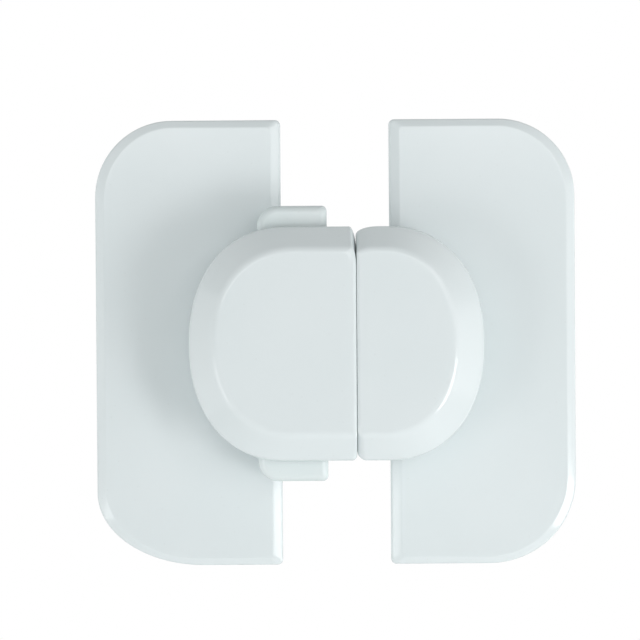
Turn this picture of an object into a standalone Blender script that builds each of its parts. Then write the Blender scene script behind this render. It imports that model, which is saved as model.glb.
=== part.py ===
"""Adhesive child-safety latch for a refrigerator or cabinet door, as an assembly of separate pieces.

Two plates are stuck side by side, one on the door and one on the frame beside it. The left plate
carries the lock: a D-shaped housing with two squeeze buttons, their springs and hooks. The right plate
carries the strike: a D-shaped cover and a tongue with a window. At rest the hooks hold the tongue from
behind. Squeezing both buttons draws the hooks clear, and the lock leaves the tongue towards the front.

Units are metres. +X runs to the right and +Z up, and the front faces -Y. "height" is the distance from
the wall plane towards the front, so a point at a height lies at y = -height.
"""

import math

import bmesh
import bpy
from mathutils import Matrix, Vector

MM = 0.001
CLEARANCE = 0.3 * MM

# Plates
PLATE_HALF_HEIGHT = 42.7 * MM
PLATE_GAP = 20.8 * MM
PLATE_WIDTH = 35.6 * MM
PLATE_BACK = 0.7 * MM
PLATE_FRONT = 4.0 * MM
PLATE_EDGE_BEVEL = 1.5 * MM
PLATE_TOP_RADIUS = 14.7 * MM
LOCK_BOTTOM_RADII = (20.5 * MM, 14.0 * MM)
STRIKE_BOTTOM_RADII = (16.7 * MM, 16.2 * MM)
PLATE_INNER_RADIUS = 1.0 * MM
PAD_RECESS_INSET = 1.2 * MM
PAD_RECESS_FLOOR = 1.5 * MM
PAD_THICKNESS = PAD_RECESS_FLOOR - CLEARANCE
PLATE_INNER = PLATE_GAP / 2
PLATE_OUTER = PLATE_INNER + PLATE_WIDTH
PLATE_CENTRE = (PLATE_INNER + PLATE_OUTER) / 2

# D-shaped bodies
BODY_HALF_HEIGHT = 22.0 * MM
BODY_ROUND = 18.2 * MM
BODY_EXPONENT = 2.2
BODY_BOTTOM = PLATE_FRONT + CLEARANCE
BODY_SHOULDER = 15.5 * MM
BODY_FRONT = 20.0 * MM
BODY_BEVEL_X = 4.75 * MM
BODY_BEVEL_Z = 5.5 * MM
SEAM_CORNER = 1.2 * MM
WALL = 1.6 * MM
LOCK_LEFT = -27.7 * MM
LOCK_SEAM = 3.7 * MM
STRIKE_SEAM = LOCK_SEAM + CLEARANCE
STRIKE_RIGHT = 27.9 * MM

# Bosses and ribs in the covers
LONG_BOSS_RADIUS = 2.6 * MM
SHORT_BOSS_RADIUS = 1.9 * MM
STOP_RIB = (-9.6 * MM, -8.4 * MM)
STOP_RIB_HALF = 9.0 * MM
SLIDE_RIB = (-12.0 * MM, -11.0 * MM)
SLIDE_RIB_REACH = (14.0 * MM, 18.0 * MM)

# Chassis of the lock
FLOOR_TOP = 6.3 * MM
NOTCH_LEFT = -10.3 * MM
NOTCH_HALF = 10.9 * MM
GUIDE = (-18.0 * MM, -17.2 * MM)
GUIDE_REACH = (12.6 * MM, 16.4 * MM)

# Tongue of the strike
TONGUE_BACK = 9.5 * MM
TONGUE_FRONT = 12.5 * MM
TONGUE_HALF = 10.5 * MM
TONGUE_TIP = -9.8 * MM
WINDOW_LEFT = -7.5 * MM
WINDOW_RIGHT = -1.3 * MM
WINDOW_HALF = 6.5 * MM
RISER_LEFT = 7.0 * MM
RISER_RIGHT = 9.4 * MM
FOOT_RIGHT = 20.0 * MM
FOOT_TOP = 7.6 * MM

# Buttons
TAB_LEFT = -14.8 * MM
TAB_RIGHT = -1.6 * MM
TAB_END = BODY_HALF_HEIGHT + 4.0 * MM
TAB_BACK = 7.3 * MM
TAB_FRONT = 13.2 * MM
CARRIAGE_FRONT = 14.7 * MM
CARRIAGE_FAR = 19.2 * MM
TAB_LEFT_RADIUS = 3.8 * MM
TAB_RIGHT_RADIUS = 1.0 * MM
BUTTON_INNER = 15.3 * MM
LEFT_SHOULDER = -16.8 * MM
LEFT_SHOULDER_FAR = 18.2 * MM
RIGHT_SHOULDER = 1.6 * MM
RIGHT_SHOULDER_NEAR = 17.9 * MM
CARRIAGE_BACK = 12.9 * MM
LEG_LEFT = -6.9 * MM
LEG_RIGHT = -1.9 * MM
LEG_NEAR = 3.3 * MM
LEG_FAR = 5.4 * MM
HOOK_FAR = 8.4 * MM
HOOK_BACK = 7.4 * MM
HOOK_FRONT = TONGUE_BACK - CLEARANCE

# Springs
SPRING_X = -13.0 * MM
SPRING_HEIGHT = 10.5 * MM
SPRING_RADIUS = 1.9 * MM
SPRING_WIRE = 0.5 * MM
SPRING_COILS = 7.0
SPRING_BLOCK_HALF = 2.0 * MM
SPRING_PEG_RADIUS = 1.1 * MM
SPRING_PEG_LENGTH = 2.5 * MM

# Screws: positions as (x, z)
LONG_SCREW_RADIUS = 1.1 * MM
LONG_HEAD_RADIUS = 2.1 * MM
SHORT_SCREW_RADIUS = 0.8 * MM
SHORT_HEAD_RADIUS = 1.5 * MM
HEAD_HEIGHT = 1.2 * MM
HEAD_FLOOR = PAD_RECESS_FLOOR + 0.1 * MM
LOCK_PLATE_SCREWS = ((-21.0 * MM, 9.5 * MM), (-21.0 * MM, -9.5 * MM), (-20.5 * MM, 0.0))
LOCK_CHASSIS_SCREWS = ((0.9 * MM, 12.7 * MM), (0.9 * MM, -12.7 * MM))
STRIKE_PLATE_SCREWS = ((19.5 * MM, 12.6 * MM), (19.5 * MM, -12.6 * MM), (23.8 * MM, 0.0))
TONGUE_SCREWS = ((15.5 * MM, 4.6 * MM), (15.5 * MM, -4.6 * MM))
LOCK_SCREW_TIP = 14.6 * MM
CHASSIS_SCREW_TIP = 12.5 * MM
STRIKE_SCREW_TIP = 12.0 * MM
TONGUE_SCREW_TIP = 8.8 * MM

# The frame's origin is the middle of the strike's adhesive face
ORIGIN_X = PLATE_CENTRE

COLOURS = {
    "white_gloss": ((0.80, 0.82, 0.82), 0.22, 0.0),
    "button_white": ((0.78, 0.81, 0.80), 0.30, 0.0),
    "inner_white": ((0.74, 0.75, 0.73), 0.45, 0.0),
    "tongue_white": ((0.77, 0.78, 0.77), 0.35, 0.0),
    "foam_tape": ((0.86, 0.86, 0.83), 0.85, 0.0),
    "spring_steel": ((0.55, 0.55, 0.56), 0.30, 1.0),
    "screw_steel": ((0.62, 0.62, 0.63), 0.35, 1.0),
}


# ---------------------------------------------------------------- outlines, as lists of (x, z)

def rounded_corners(corners, steps):
    """An outline whose corners are ellipse arcs. Each corner is (x, z, side x, side z, radius x, radius z).

    The first corner runs from its side to its top, the next one back from its top to its side, and so on.
    """
    points = []
    for index, (x, z, side_x, side_z, radius_x, radius_z) in enumerate(corners):
        centre_x, centre_z = x - side_x * radius_x, z - side_z * radius_z
        arc = []
        for step in range(steps + 1):
            angle = math.pi / 2 * step / steps
            arc.append((centre_x + side_x * radius_x * math.cos(angle),
                        centre_z + side_z * radius_z * math.sin(angle)))
        points += arc[::-1] if index % 2 else arc
    return points


def plate_outline(side, bottom_radii, inset=0.0):
    """The outline of a plate on one side of the gap: big outer corners, nearly square inner ones."""
    inner, outer = PLATE_INNER + inset, PLATE_OUTER - inset
    half = PLATE_HALF_HEIGHT - inset
    small = max(PLATE_INNER_RADIUS - inset, 0.3 * MM)
    top = PLATE_TOP_RADIUS - inset
    bottom_x, bottom_z = (radius - inset for radius in bottom_radii)
    return rounded_corners([
        (side * outer, half, side, 1, top, top),
        (side * inner, half, -side, 1, small, small),
        (side * inner, -half, -side, -1, small, small),
        (side * outer, -half, side, -1, bottom_x, bottom_z),
    ], 9)


def body_outline(seam, end, inset_x=0.0, inset_z=0.0, seam_inset=0.0, corner=SEAM_CORNER):
    """A D: a straight seam edge with small corners, and a superellipse for the far end."""
    side = math.copysign(1.0, end - seam)
    half = BODY_HALF_HEIGHT - inset_z
    reach = BODY_ROUND - inset_x
    centre = end - side * BODY_ROUND
    edge = seam + side * seam_inset
    power = 2 / BODY_EXPONENT
    steps = 28
    points = []
    for step in range(steps + 1):
        angle = math.pi / 2 - math.pi * step / steps
        cosine, sine = abs(math.cos(angle)), math.sin(angle)
        points.append((centre + side * reach * cosine ** power,
                       math.copysign(half * abs(sine) ** power, sine)))
    for side_z in (-1, 1):
        arc = [(edge + side * corner * (1 - math.sin(angle)),
                side_z * (half - corner * (1 - math.cos(angle))))
               for angle in (math.pi / 2 * step / 3 for step in range(4))]
        points += arc if side_z < 0 else arc[::-1]
    return points


def tab_outline(side, inset):
    """A button's tab from its root in the housing to its free end, with a big and a small corner."""
    left, right, end = TAB_LEFT + inset, TAB_RIGHT - inset, TAB_END - inset
    big, small = TAB_LEFT_RADIUS - inset / 2, TAB_RIGHT_RADIUS - inset / 4
    points = rounded_corners([(right, end, 1, 1, small, small), (left, end, -1, 1, big, big)], 6)
    points += [(left, BUTTON_INNER), (right, BUTTON_INNER)]
    return [(x, side * z) for x, z in points]


# ---------------------------------------------------------------- solids

def at(x, z, height):
    """The placing of an outline in (x, z) at a height."""
    return Vector((x, -height, z))


def across(z, height, x):
    """The placing of a profile in (z, height) at some x, for prisms along X."""
    return at(x, z, height)


def upward(x, height, z):
    """The placing of a profile in (x, height) at some z, for prisms along Z."""
    return at(x, z, height)


def solid(name, mesh_builder):
    """A new object around the bmesh that mesh_builder fills, with its normals facing out."""
    mesh = bpy.data.meshes.new(name)
    work = bmesh.new()
    mesh_builder(work)
    bmesh.ops.remove_doubles(work, verts=work.verts, dist=1e-7)
    bmesh.ops.recalc_face_normals(work, faces=work.faces)
    work.to_mesh(mesh)
    work.free()
    obj = bpy.data.objects.new(name, mesh)
    bpy.context.scene.collection.objects.link(obj)
    return obj


def loft(name, sections, place=at):
    """A solid through outlines of equally many points, each given with its place along the loft."""
    def fill(work):
        rings = [[work.verts.new(place(a, b, along)) for a, b in outline] for along, outline in sections]
        for below, above in zip(rings, rings[1:]):
            for i in range(len(below)):
                j = (i + 1) % len(below)
                work.faces.new((below[i], below[j], above[j], above[i]))
        work.faces.new(rings[0])
        work.faces.new(rings[-1])
    return solid(name, fill)


def block(x_range, z_range, height_range):
    """A box between two values of x, z and height, in any order."""
    (x0, x1), (z0, z1), (h0, h1) = (sorted(span) for span in (x_range, z_range, height_range))
    outline = [(x0, z0), (x1, z0), (x1, z1), (x0, z1)]
    return loft("block", [(h0, outline), (h1, outline)])


def prism(profile, span, place):
    """A straight prism over a profile, between two places along it."""
    return loft("prism", [(along, profile) for along in span], place)


def turned(name, x, z, profile, steps=20):
    """A solid turned about the line through (x, z) towards the front. The profile holds (height, radius)."""
    def ring(radius):
        angles = (2 * math.pi * step / steps for step in range(steps))
        return [(x + radius * math.cos(angle), z + radius * math.sin(angle)) for angle in angles]
    return loft(name, [(height, ring(radius)) for height, radius in profile])


def cylinder(x, z, radius, height_range, steps=20):
    return turned("cylinder", x, z, [(height, radius) for height in height_range], steps)


def spring_peg(z_range):
    """A round peg on the springs' line, along Z."""
    def fill(work):
        length = abs(z_range[1] - z_range[0])
        middle = at(SPRING_X, sum(z_range) / 2, SPRING_HEIGHT)
        bmesh.ops.create_cone(work, cap_ends=True, segments=14, radius1=SPRING_PEG_RADIUS,
                              radius2=SPRING_PEG_RADIUS, depth=length, matrix=Matrix.Translation(middle))
    return solid("peg", fill)


def combine(target, operation, tools):
    """Applies a Boolean of each tool to the target, and removes the tools."""
    for tool in tools:
        modifier = target.modifiers.new("combine", "BOOLEAN")
        modifier.operation = operation
        modifier.solver = "EXACT"
        modifier.object = tool
        with bpy.context.temp_override(object=target, active_object=target, selected_objects=[target]):
            bpy.ops.object.modifier_apply(modifier=modifier.name)
        bpy.data.objects.remove(tool)
    return target


def fuse(target, *tools):
    return combine(target, "UNION", tools)


def carve(target, *tools):
    return combine(target, "DIFFERENCE", tools)


# ---------------------------------------------------------------- colour and place

def material_of(name):
    material = bpy.data.materials.get(name)
    if material:
        return material
    colour, roughness, metallic = COLOURS[name]
    material = bpy.data.materials.new(name)
    material.use_nodes = True
    shader = material.node_tree.nodes["Principled BSDF"]
    shader.inputs["Base Color"].default_value = (*colour, 1.0)
    shader.inputs["Roughness"].default_value = roughness
    shader.inputs["Metallic"].default_value = metallic
    material.diffuse_color = (*colour, 1.0)
    return material


def finish(obj, material, parent, origin=Vector()):
    """Names the material, moves the object's own origin, hangs it on its parent and shades it."""
    obj.data.materials.clear()
    obj.data.materials.append(material_of(material))
    obj.data.transform(Matrix.Translation(-origin))
    obj.parent = parent
    obj.location = origin
    obj.data.shade_smooth()
    obj.data.set_sharp_from_angle(angle=math.radians(32))
    return obj


def group(name, location, parent=None):
    empty = bpy.data.objects.new(name, None)
    bpy.context.scene.collection.objects.link(empty)
    empty.location = location
    empty.parent = parent
    empty.empty_display_size = 0.01
    return empty


# ---------------------------------------------------------------- plates, pads and screws

def base_plate(name, side, bottom_radii, screws):
    def outline(inset):
        return plate_outline(side, bottom_radii, inset)
    plate = loft(name, [
        (PLATE_BACK, outline(0.0)),
        (PLATE_FRONT - 1.2 * MM, outline(0.0)),
        (PLATE_FRONT - 0.4 * MM, outline(0.35 * PLATE_EDGE_BEVEL)),
        (PLATE_FRONT, outline(PLATE_EDGE_BEVEL)),
    ])
    recess = loft("recess", [(height, outline(PAD_RECESS_INSET)) for height in (-MM, PAD_RECESS_FLOOR)])
    carve(plate, recess)
    for x, z in screws:
        carve(plate,
              cylinder(x, z, LONG_HEAD_RADIUS + CLEARANCE, (0.0, HEAD_FLOOR + HEAD_HEIGHT + CLEARANCE)),
              cylinder(x, z, LONG_SCREW_RADIUS + CLEARANCE, (0.0, PLATE_FRONT + MM)))
    return plate


def foam_pad(name, side, bottom_radii):
    outline = plate_outline(side, bottom_radii, PAD_RECESS_INSET + CLEARANCE)
    return loft(name, [(0.0, outline), (PAD_THICKNESS, outline)])


def screw(name, place, start, length, radius, head_radius):
    """A pan-head screw that points towards the front, with a cross recess in its head."""
    x, z = place
    neck = start + HEAD_HEIGHT
    tip = start + length
    body = turned(name, x, z, [
        (start, 0.72 * head_radius),
        (start + 0.25 * HEAD_HEIGHT, 0.94 * head_radius),
        (start + 0.6 * HEAD_HEIGHT, head_radius),
        (neck, head_radius),
        (neck + 0.02 * MM, radius),
        (tip - 1.2 * radius, radius),
        (tip, 0.25 * radius),
    ], 16)
    arm, slot = 0.5 * head_radius, 0.12 * head_radius
    depth = (start - MM, start + 0.5 * HEAD_HEIGHT)
    return carve(body,
                 block((x - arm, x + arm), (z - slot, z + slot), depth),
                 block((x - slot, x + slot), (z - arm, z + arm), depth))


def bosses(places, radius, bottom):
    """Round bosses that run up to the cover's front wall."""
    return [cylinder(x, z, radius, (bottom, BODY_FRONT + MM)) for x, z in places]


def pilot_holes(places, screw_radius, tip):
    return [cylinder(x, z, screw_radius + CLEARANCE, (0.0, tip + 0.5 * MM)) for x, z in places]


# ---------------------------------------------------------------- covers

def cover_shell(name, seam, end, inner_solids):
    """A D-shaped cap, open at its back, with a bevelled front edge and solids that stand in its hollow."""
    def bevelled(extra, seam_inset):
        return body_outline(seam, end, BODY_BEVEL_X + extra, BODY_BEVEL_Z + extra, seam_inset)

    outer = loft(name, [
        (BODY_BOTTOM, body_outline(seam, end)),
        (BODY_SHOULDER, body_outline(seam, end)),
        (BODY_FRONT - 0.35 * MM, bevelled(-0.4 * MM, 0.25 * MM)),
        (BODY_FRONT, bevelled(0.4 * MM, 0.8 * MM)),
    ])
    side = math.copysign(1.0, end - seam)
    wall_seam = seam + side * WALL
    inner = loft("inner", [
        (0.0, body_outline(wall_seam, end, WALL, WALL, 0.0, 0.6 * MM)),
        (BODY_SHOULDER - 0.3 * MM, body_outline(wall_seam, end, WALL, WALL, 0.0, 0.6 * MM)),
        (BODY_FRONT - WALL, body_outline(wall_seam, end, BODY_BEVEL_X + 0.7 * MM, BODY_BEVEL_Z + 0.7 * MM,
                                         0.0, 0.6 * MM)),
    ])
    return carve(outer, carve(inner, *inner_solids))


def tongue_slot(seam, side):
    """The opening in a seam wall for the tongue, open towards the back."""
    return block((seam - side * MM, seam + side * (WALL + MM)),
                 (-NOTCH_HALF, NOTCH_HALF), (0.0, TONGUE_FRONT + CLEARANCE))


def lock_cover():
    long_bosses = bosses(LOCK_PLATE_SCREWS, LONG_BOSS_RADIUS, FLOOR_TOP + CLEARANCE)
    short_bosses = bosses(LOCK_CHASSIS_SCREWS, SHORT_BOSS_RADIUS, FLOOR_TOP + CLEARANCE)
    stop_rib = block(STOP_RIB, (-STOP_RIB_HALF, STOP_RIB_HALF),
                     (TONGUE_FRONT + CLEARANCE, BODY_FRONT + MM))
    slide_ribs = [block(SLIDE_RIB, side_range(side, *SLIDE_RIB_REACH),
                        (CARRIAGE_FRONT + CLEARANCE, BODY_FRONT + MM)) for side in (-1, 1)]
    cover = cover_shell("lock_cover", LOCK_SEAM, LOCK_LEFT,
                        long_bosses + short_bosses + slide_ribs + [stop_rib])
    windows = [block((TAB_LEFT - CLEARANCE, TAB_RIGHT + CLEARANCE),
                     side_range(side, 19.0 * MM, BODY_HALF_HEIGHT + MM),
                     (TAB_BACK - CLEARANCE, TAB_FRONT + CLEARANCE)) for side in (-1, 1)]
    return carve(cover, tongue_slot(LOCK_SEAM, -1), *windows,
                 *pilot_holes(LOCK_PLATE_SCREWS, LONG_SCREW_RADIUS, LOCK_SCREW_TIP),
                 *pilot_holes(LOCK_CHASSIS_SCREWS, SHORT_SCREW_RADIUS, CHASSIS_SCREW_TIP))


def strike_cover():
    cover = cover_shell("strike_cover", STRIKE_SEAM, STRIKE_RIGHT,
                        bosses(STRIKE_PLATE_SCREWS, LONG_BOSS_RADIUS, BODY_BOTTOM))
    return carve(cover, tongue_slot(STRIKE_SEAM, 1),
                 *pilot_holes(STRIKE_PLATE_SCREWS, LONG_SCREW_RADIUS, STRIKE_SCREW_TIP))


def side_range(side, near, far):
    """A range of z on the upper (1) or lower (-1) side."""
    return side * near, side * far


# ---------------------------------------------------------------- inside the lock

def lock_chassis():
    inset = WALL + CLEARANCE
    outline = body_outline(LOCK_SEAM, LOCK_LEFT, inset, inset, inset, 0.6 * MM)
    chassis = loft("lock_chassis", [(BODY_BOTTOM, outline), (FLOOR_TOP, outline)])
    carve(chassis, block((NOTCH_LEFT, LOCK_SEAM + MM), (-NOTCH_HALF, NOTCH_HALF), (0.0, FLOOR_TOP + MM)))
    spring_block = block((SPRING_X - 2.4 * MM, SPRING_X + 2.4 * MM), (-SPRING_BLOCK_HALF, SPRING_BLOCK_HALF),
                         (BODY_BOTTOM + MM, SPRING_HEIGHT + 2.2 * MM))
    fuse(chassis, spring_block)
    for side in (-1, 1):
        guide = block(GUIDE, side_range(side, *GUIDE_REACH),
                      (BODY_BOTTOM + MM, CARRIAGE_FRONT))
        fuse(chassis, guide, spring_peg(side_range(side, SPRING_BLOCK_HALF - MM,
                                                   SPRING_BLOCK_HALF + SPRING_PEG_LENGTH)))
    for x, z in LOCK_PLATE_SCREWS:
        carve(chassis, cylinder(x, z, LONG_SCREW_RADIUS + CLEARANCE, (0.0, FLOOR_TOP + MM)))
    for x, z in LOCK_CHASSIS_SCREWS:
        carve(chassis, cylinder(x, z, SHORT_SCREW_RADIUS + CLEARANCE, (0.0, FLOOR_TOP + MM)))
    return chassis


def button(name, side):
    """A slider: the tab outside, its carriage and shoulders inside, and a hooked leg in the window."""
    def tab(inset):
        return tab_outline(side, inset)
    slider = loft(name, [
        (TAB_BACK, tab(0.6 * MM)),
        (TAB_BACK + 0.6 * MM, tab(0.0)),
        (TAB_FRONT - 1.4 * MM, tab(0.0)),
        (TAB_FRONT - 0.5 * MM, tab(0.5 * MM)),
        (TAB_FRONT, tab(1.5 * MM)),
    ])
    shoulder_heights = (TAB_BACK + MM, CARRIAGE_FRONT - MM)
    carriage = block((TAB_LEFT, TAB_RIGHT), side_range(side, BUTTON_INNER, CARRIAGE_FAR),
                     (TAB_BACK + MM, CARRIAGE_FRONT))
    left_shoulder = block((LEFT_SHOULDER, TAB_LEFT + MM),
                          side_range(side, BUTTON_INNER, LEFT_SHOULDER_FAR), shoulder_heights)
    right_shoulder = block((TAB_RIGHT - MM, RIGHT_SHOULDER),
                           side_range(side, RIGHT_SHOULDER_NEAR, BODY_HALF_HEIGHT - WALL - CLEARANCE),
                           shoulder_heights)
    arm = block((LEG_LEFT, LEG_RIGHT), side_range(side, LEG_NEAR, BUTTON_INNER + MM),
                (CARRIAGE_BACK, CARRIAGE_FRONT - 0.2 * MM))
    leg = block((LEG_LEFT, LEG_RIGHT), side_range(side, LEG_NEAR, LEG_FAR), (HOOK_BACK, CARRIAGE_BACK + MM))
    hook_profile = [(side * z, height) for z, height in (
        (LEG_FAR - MM, HOOK_BACK), (LEG_FAR, HOOK_BACK), (HOOK_FAR, HOOK_FRONT - 0.5 * MM),
        (HOOK_FAR, HOOK_FRONT), (LEG_FAR - MM, HOOK_FRONT))]
    hook = prism(hook_profile, (LEG_LEFT, LEG_RIGHT), across)
    peg = spring_peg(side_range(side, BUTTON_INNER - SPRING_PEG_LENGTH, BUTTON_INNER + MM))
    return fuse(slider, carriage, left_shoulder, right_shoulder, arm, leg, hook, peg)


def spring(name, side):
    """A compression spring with closed ends, between the chassis's block and the button."""
    start = SPRING_BLOCK_HALF + CLEARANCE + SPRING_WIRE / 2
    end = BUTTON_INNER - CLEARANCE - SPRING_WIRE / 2
    turn_steps, sides = 14, 6
    closed_pitch = 1.15 * SPRING_WIRE
    total_steps = int((SPRING_COILS + 2) * turn_steps)

    def rise(turns):
        """How far along the axis the wire is after so many turns: flat at both ends, even between."""
        middle_pitch = (end - start - 2 * closed_pitch) / SPRING_COILS
        active = min(max(turns - 1.0, 0.0), SPRING_COILS)
        closed = min(turns, 1.0) + max(turns - 1.0 - SPRING_COILS, 0.0)
        return start + closed * closed_pitch + active * middle_pitch

    def fill(work):
        rings = []
        for step in range(total_steps + 1):
            turns = step / turn_steps
            angle = 2 * math.pi * turns
            outward = Vector((math.cos(angle), math.sin(angle), 0.0))
            centre = at(SPRING_X, side * rise(turns), SPRING_HEIGHT) + outward * SPRING_RADIUS
            rings.append([work.verts.new(centre + (outward * math.cos(a) + Vector((0, 0, 1)) * math.sin(a))
                                         * SPRING_WIRE / 2)
                          for a in (2 * math.pi * corner / sides for corner in range(sides))])
        for before, after in zip(rings, rings[1:]):
            for i in range(sides):
                j = (i + 1) % sides
                work.faces.new((before[i], before[j], after[j], after[i]))
        work.faces.new(rings[0])
        work.faces.new(rings[-1])
    return solid(name, fill)


# ---------------------------------------------------------------- tongue

def strike_tongue():
    """A foot on the plate, a riser behind the seam, and a flat arm with a window for the hooks."""
    foot_half = 8.6 * MM
    rib_half = 0.6 * MM
    tongue = block((TONGUE_TIP, RISER_RIGHT), (-TONGUE_HALF, TONGUE_HALF),
                   (TONGUE_BACK, TONGUE_FRONT))
    tongue.name = tongue.data.name = "strike_tongue"
    fuse(tongue,
         block((RISER_LEFT, RISER_RIGHT), (-TONGUE_HALF, TONGUE_HALF),
               (BODY_BOTTOM, TONGUE_FRONT - 0.5 * MM)),
         block((RISER_LEFT + MM, FOOT_RIGHT), (-foot_half, foot_half), (BODY_BOTTOM, FOOT_TOP)))
    rib_profile = [(RISER_RIGHT - MM, FOOT_TOP - MM), (RISER_RIGHT + 3.0 * MM, FOOT_TOP - MM),
                   (RISER_RIGHT + 3.0 * MM, FOOT_TOP), (RISER_RIGHT, TONGUE_BACK + 1.5 * MM),
                   (RISER_RIGHT - MM, TONGUE_BACK + 1.5 * MM)]
    for z in (-foot_half + rib_half + 0.1 * MM, 0.0, foot_half - rib_half - 0.1 * MM):
        fuse(tongue, prism(rib_profile, (z - rib_half, z + rib_half), upward))
    lead = 2.0 * MM
    lead_profile = [(TONGUE_TIP - MM, TONGUE_BACK - MM), (TONGUE_TIP + lead, TONGUE_BACK - MM),
                    (TONGUE_TIP - MM, TONGUE_BACK + lead)]
    carve(tongue,
          block((WINDOW_LEFT, WINDOW_RIGHT), (-WINDOW_HALF, WINDOW_HALF), (0.0, TONGUE_FRONT + MM)),
          prism(lead_profile, (-TONGUE_HALF - MM, TONGUE_HALF + MM), upward))
    for x, z in TONGUE_SCREWS:
        carve(tongue, cylinder(x, z, LONG_SCREW_RADIUS + CLEARANCE, (0.0, FOOT_TOP + MM)))
    return tongue


# ---------------------------------------------------------------- the whole latch

def build_strike(latch):
    half = group("strike_half", Vector(), latch)
    finish(base_plate("strike_base_plate", 1, STRIKE_BOTTOM_RADII, STRIKE_PLATE_SCREWS + TONGUE_SCREWS),
           "white_gloss", half)
    finish(foam_pad("strike_foam_pad", 1, STRIKE_BOTTOM_RADII), "foam_tape", half)
    finish(strike_cover(), "white_gloss", half)
    finish(strike_tongue(), "tongue_white", half)
    for number, place in enumerate(STRIKE_PLATE_SCREWS, 1):
        finish(screw(f"strike_plate_screw_{number}", place, HEAD_FLOOR, STRIKE_SCREW_TIP - HEAD_FLOOR,
                     LONG_SCREW_RADIUS, LONG_HEAD_RADIUS), "screw_steel", half)
    for number, place in enumerate(TONGUE_SCREWS, 1):
        finish(screw(f"tongue_screw_{number}", place, HEAD_FLOOR, TONGUE_SCREW_TIP - HEAD_FLOOR,
                     LONG_SCREW_RADIUS, LONG_HEAD_RADIUS), "screw_steel", half)


def build_lock(latch):
    half = group("lock_half", Vector(), latch)
    finish(base_plate("lock_base_plate", -1, LOCK_BOTTOM_RADII, LOCK_PLATE_SCREWS), "white_gloss", half)
    finish(foam_pad("lock_foam_pad", -1, LOCK_BOTTOM_RADII), "foam_tape", half)
    finish(lock_chassis(), "inner_white", half)
    finish(lock_cover(), "white_gloss", half)
    for word, side in (("upper", 1), ("lower", -1)):
        middle = at((TAB_LEFT + TAB_RIGHT) / 2, side * BUTTON_INNER, (TAB_BACK + TAB_FRONT) / 2)
        finish(button(f"{word}_button", side), "button_white", half, middle)
        finish(spring(f"{word}_spring", side), "spring_steel", half,
               at(SPRING_X, side * (SPRING_BLOCK_HALF + CLEARANCE), SPRING_HEIGHT))
    for number, place in enumerate(LOCK_PLATE_SCREWS, 1):
        finish(screw(f"lock_plate_screw_{number}", place, HEAD_FLOOR, LOCK_SCREW_TIP - HEAD_FLOOR,
                     LONG_SCREW_RADIUS, LONG_HEAD_RADIUS), "screw_steel", half)
    for number, place in enumerate(LOCK_CHASSIS_SCREWS, 1):
        start = BODY_BOTTOM - CLEARANCE - HEAD_HEIGHT
        finish(screw(f"lock_chassis_screw_{number}", place, start, CHASSIS_SCREW_TIP - start,
                     SHORT_SCREW_RADIUS, SHORT_HEAD_RADIUS), "screw_steel", half)


def build():
    for obj in list(bpy.data.objects):
        bpy.data.objects.remove(obj)
    latch = group("latch", Vector((-ORIGIN_X, 0.0, 0.0)))
    build_strike(latch)
    build_lock(latch)


build()
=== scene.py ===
"""Two-part adhesive latch for a refrigerator or cabinet door, dressed and lit.

The left plate carries the lock: a long D-shaped cover over two squeeze buttons, their springs and their
hooks. The right plate carries the strike: a short D-shaped cover and the tongue that the hooks hold.

Sizes are millimetres until at() turns a place into metres. x runs to the right from the middle of the gap
between the plates, z runs up, and height runs from the wall to the front. Every new piece replaces one
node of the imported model, rides on the same body, and takes its limits from that node's box.
"""

import math
from collections import namedtuple

import bmesh
import bpy
from mathutils import Matrix, Vector


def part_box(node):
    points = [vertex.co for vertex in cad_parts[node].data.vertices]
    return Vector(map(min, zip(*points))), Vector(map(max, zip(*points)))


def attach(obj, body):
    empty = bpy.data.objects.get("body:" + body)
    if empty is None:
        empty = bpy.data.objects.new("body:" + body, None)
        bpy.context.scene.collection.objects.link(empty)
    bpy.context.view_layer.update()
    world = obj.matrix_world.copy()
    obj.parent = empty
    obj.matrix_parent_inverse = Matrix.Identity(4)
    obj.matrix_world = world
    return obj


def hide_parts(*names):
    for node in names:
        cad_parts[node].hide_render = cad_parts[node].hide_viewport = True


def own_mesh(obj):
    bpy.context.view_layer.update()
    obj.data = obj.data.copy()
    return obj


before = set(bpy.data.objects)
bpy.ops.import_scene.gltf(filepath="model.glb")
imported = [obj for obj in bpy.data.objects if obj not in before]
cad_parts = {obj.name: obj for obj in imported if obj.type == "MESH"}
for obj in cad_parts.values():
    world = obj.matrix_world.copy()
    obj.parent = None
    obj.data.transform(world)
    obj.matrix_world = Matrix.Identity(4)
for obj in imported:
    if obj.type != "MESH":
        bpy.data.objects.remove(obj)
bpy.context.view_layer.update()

MM = 0.001
GAP = 0.3
TINY = 0.02
MIDDLE = (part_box("lock_base_plate")[1].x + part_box("strike_base_plate")[0].x) / 2 / MM

# Plates and pads
RIM_DROP = 0.75
RIM_INNER = 2.0
RIM_OUTER = 1.7
RIM_ENDS = 1.4
RIM_EDGE_FALL = 0.4
RIM_EDGE_SHARE = 0.22
RIM_CREST_SHARE = 0.12
RIM_CREST_RUN = 0.15
EDGE_BREAK = 0.2
TOP_CORNER = 14.7
LOCK_BOTTOM_CORNER = (20.5, 14.0)
STRIKE_BOTTOM_CORNER = (16.7, 16.2)
INNER_CORNER = 1.0
PAD_INNER_CORNER = 0.4
PAD_RECESS_INSET = 1.2
PAD_RECESS_FLOOR = 1.5

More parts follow.
